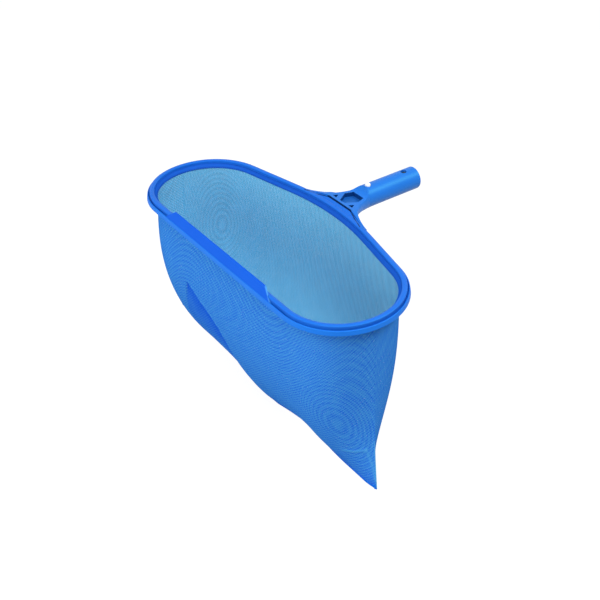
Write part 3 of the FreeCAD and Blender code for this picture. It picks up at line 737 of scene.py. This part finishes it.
def seam_roll(name, centre, half_wide, half_high, material):
    """A rolled seam: an oval of half_wide by half_high carried along a line of points.

    The oval's plane is square to the line. The ends are rounded: the oval shrinks by the root of
    1 - (1 - distance from the end / half_high)^2.
    """
    turn = np.linspace(0, 2 * np.pi, roll_sides, endpoint=False)
    along = unit(np.gradient(centre, axis=0))
    across = np.cross(along, np.array([0.0, 0.0, 1.0]))
    steep = np.linalg.norm(across, axis=-1) < 0.2
    across[steep] = np.cross(along[steep], np.array([0.0, 1.0, 0.0]))
    across = unit(across)
    upward = np.cross(across, along)
    run = np.concatenate([[0], np.cumsum(np.linalg.norm(np.diff(centre, axis=0), axis=1))])
    from_end = np.clip(np.minimum(run, run[-1] - run) / half_high, 0, 1)
    size = np.sqrt(1 - (1 - from_end) ** 2)[:, None, None]
    points = centre[:, None] + size * (across[:, None] * half_wide * np.cos(turn)[:, None]
                                       + upward[:, None] * half_high * np.sin(turn)[:, None])
    flat = np.stack(np.broadcast_arrays(run[:, None], turn[None] * 0.001), -1)
    return close_ends(make_piece(name, points, grid_faces(len(centre), len(turn), True), material, flat))


bottom_edge = np.linspace(0.0, 1.0, 400)
foot = bag_surface(-1, bottom_edge, np.ones_like(bottom_edge))
bottom_roll = seam_roll("bottom_roll", foot, *bottom_roll_size, seam_blue)
side_rolls = []
drop = np.linspace(0.01, 1.0, 200)
# The roll lies outside the cloth at the left, and inside it at the right, where it has a paler copy of the
# fell's colour as painted light
for name, u, move, fell in (("left_roll", 0.0, 0.0006, fell_blue), ("right_roll", 1.0, 0.0010, lit_fell)):
    line = sum(bag_surface(side, np.full_like(drop, u), drop) for side in (-1, 1)) / 2
    line[:, 0] -= move
    side_rolls.append(seam_roll(name, line, *side_roll_size, fell))


def stitch_row(name, middle, along, out, long_half, thick_half, material):
    """Short stitches as capsules: rings of six points at five steps along each stitch.

    A ring's radius is thick_half times the root of 1 - step^2, so both ends close in a point.
    """
    along, out = unit(along), unit(out)
    side = np.cross(along, out)
    step, turn = np.array([-1.0, -0.75, 0.0, 0.75, 1.0]), np.linspace(0, 2 * np.pi, 6, endpoint=False)
    ring = (thick_half * np.sqrt(1 - step ** 2))[:, None, None]
    spoke = out[:, None, None] * np.cos(turn)[:, None] + side[:, None, None] * np.sin(turn)[:, None]
    points = middle[:, None, None] + along[:, None, None] * (long_half * step)[:, None, None] + ring * spoke
    one = grid_faces(len(step), len(turn), True)
    faces = (one[None] + np.arange(len(middle))[:, None, None] * len(step) * len(turn)).reshape(-1, 4)
    return close_ends(make_piece(name, points, faces, material))


# Stitches
hem_count, seam_count = 300, 112
hem_row_in, hem_row_down = 0.0071, 0.0079     # the hem's stitches, from the bead's middle and top
seam_row = 0.982                    # the seam's stitches, as a share of the way from mouth to bottom edge
stitch_size = (0.0013, 0.0003)      # half a stitch's length, and half its thickness
tack_size = (0.0036, 0.0017)
tack_lift, tack_lean = 0.0012, 0.35           # above the bottom edge, and how far the tacks lean inwards
line, outward = rim_line(np.linspace(0, rim_length, hem_count, endpoint=False), -hem_row_in)
hem_middle = with_height(line, bead_top - hem_row_down)
hem_along = np.roll(hem_middle, -1, 0) - np.roll(hem_middle, 1, 0)
hem_stitches = stitch_row("hem_stitches", hem_middle, hem_along, with_height(-outward, 0.0),
                          *stitch_size, thread_blue)

along_seam = np.linspace(0.01, 0.99, seam_count)
seam_middle = bag_surface(-1, along_seam, np.full_like(along_seam, seam_row)) + np.array([0, -0.0004, 0])
seam_stitches = stitch_row("seam_stitches", seam_middle, np.gradient(seam_middle, axis=0),
                           np.tile([0.0, -1.0, 0.2], (seam_count, 1)), *stitch_size, thread_blue)

tack_middle = foot[[4, -5]] + np.array([0, 0, tack_lift])
bar_tacks = stitch_row("bar_tacks", tack_middle, np.array([[tack_lean, 0.0, 1.0], [-tack_lean, 0.0, 1.0]]),
                       np.array([[0.0, 1.0, 0.0], [0.0, 1.0, 0.0]]), *tack_size, seam_blue)
# What each piece rides on and replaces
for piece, soft in ((hem_stitches, "hem_fabric"), (seam_stitches, "seam_fabric"), (bar_tacks, "seam_fabric")):
    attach(piece, "root")

for piece, replaced, soft in ((front_cloth, "net_front_panel", "net_mesh"),
                              (back_cloth, "net_back_panel", "net_mesh"),
                              (hem_band, "net_hem", "hem_fabric"),
                              (bottom_roll, "net_bottom_seam", "seam_fabric"),
                              (side_rolls[0], "net_left_seam", "seam_fabric"),
                              (side_rolls[1], "net_right_seam", "seam_fabric")):
    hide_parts(replaced)
    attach(piece, "root")

# Floor, backdrop and light
floor_z, floor_half = -0.262, 6
floor_shade, floor_glow, floor_pale = 0.5, 0.92, 0.16
sky_light = 0.27          # how brightly the backdrop lights the net; seen directly it is white, 1


def seen_directly(tree):
    """1 for rays from the camera, in a gloss or through glass, and 0 for the light that falls on things."""
    rays = tree.nodes.new("ShaderNodeLightPath").outputs
    return calc(tree, "MAXIMUM", calc(tree, "MAXIMUM", rays["Is Camera Ray"], rays["Is Glossy Ray"]),
                rays["Is Transmission Ray"])


floor_mesh = bpy.data.meshes.new("floor")
floor_corners = [(x * floor_half, y * floor_half, floor_z) for x, y in ((-1, -1), (1, -1), (1, 1), (-1, 1))]
floor_mesh.from_pydata(floor_corners, [], [(0, 1, 2, 3)])
floor = link_object("floor", floor_mesh)
floor_white, tree, shader = start_material("floor_white")
shader.inputs["Base Color"].default_value = (floor_shade, floor_shade, floor_shade, 1)
shader.inputs["Roughness"].default_value = 1.0
shader.inputs["Specular IOR Level"].default_value = 0.0
glow, pale, both, pick = [tree.nodes.new("ShaderNode" + kind)
                          for kind in ("Emission", "BsdfDiffuse", "AddShader", "MixShader")]
glow.inputs["Strength"].default_value = floor_glow
pale.inputs["Color"].default_value = (floor_pale, floor_pale, floor_pale, 1)
for socket, value in ((both.inputs[0], glow.outputs[0]), (both.inputs[1], pale.outputs[0]),
                      (pick.inputs[0], seen_directly(tree)), (pick.inputs[1], shader.outputs[0]),
                      (pick.inputs[2], both.outputs[0]),
                      (tree.nodes["Material Output"].inputs["Surface"], pick.outputs[0])):
    tree.links.new(value, socket)
floor_mesh.materials.append(floor_white)

world = bpy.data.worlds.new("studio")
bpy.context.scene.world = world
world.use_nodes = True
tree = world.node_tree
background = tree.nodes["Background"]
background.inputs["Color"].default_value = (1, 1, 1, 1)
brightness = calc(tree, "MULTIPLY_ADD", seen_directly(tree), 1 - sky_light, sky_light)
tree.links.new(brightness, background.inputs["Strength"])


def soft_lamp(name, place, aim, size, power):
    """A square lamp at a place, turned to a point, with its size in metres and its power in watts."""
    lamp = bpy.data.lights.new(name, "AREA")
    lamp.shape = "SQUARE"
    lamp.size = size
    lamp.energy = power
    piece = link_object(name, lamp)
    piece.location = place
    piece.rotation_euler = (Vector(aim) - Vector(place)).to_track_quat("-Z", "Y").to_euler()


soft_lamp("key_lamp", (0.95, -0.8, 1.8), (0, -0.15, -0.05), 1.3, 30)
soft_lamp("back_lamp", (0.95, 0.92, 1.5), (0, -0.05, -0.02), 0.8, 20)
soft_lamp("fill_lamp", (-0.35, -2.0, 0.55), (0, -0.15, -0.1), 1.6, 23)

# The camera stands in front of the net and to its right, at the photograph's viewing place
right, down, forward = ((0.5809722, 0.8136469, -0.0212143), (0.4674941, -0.3549164, -0.8096194),
                        (-0.6662736, 0.4604489, -0.5865717))
viewing_place = (0.913026, -0.776925, 0.685815)
view = bpy.data.cameras.new("view")
view.lens = 63.13
view.sensor_width = 36
camera = link_object("view", view)
turn = Matrix((right, [-c for c in down], [-c for c in forward])).transposed().to_4x4()
camera.matrix_world = Matrix.Translation(viewing_place) @ turn
bpy.context.scene.camera = camera
bpy.context.scene.view_settings.view_transform = "Standard"

bpy.context.view_layer.update()
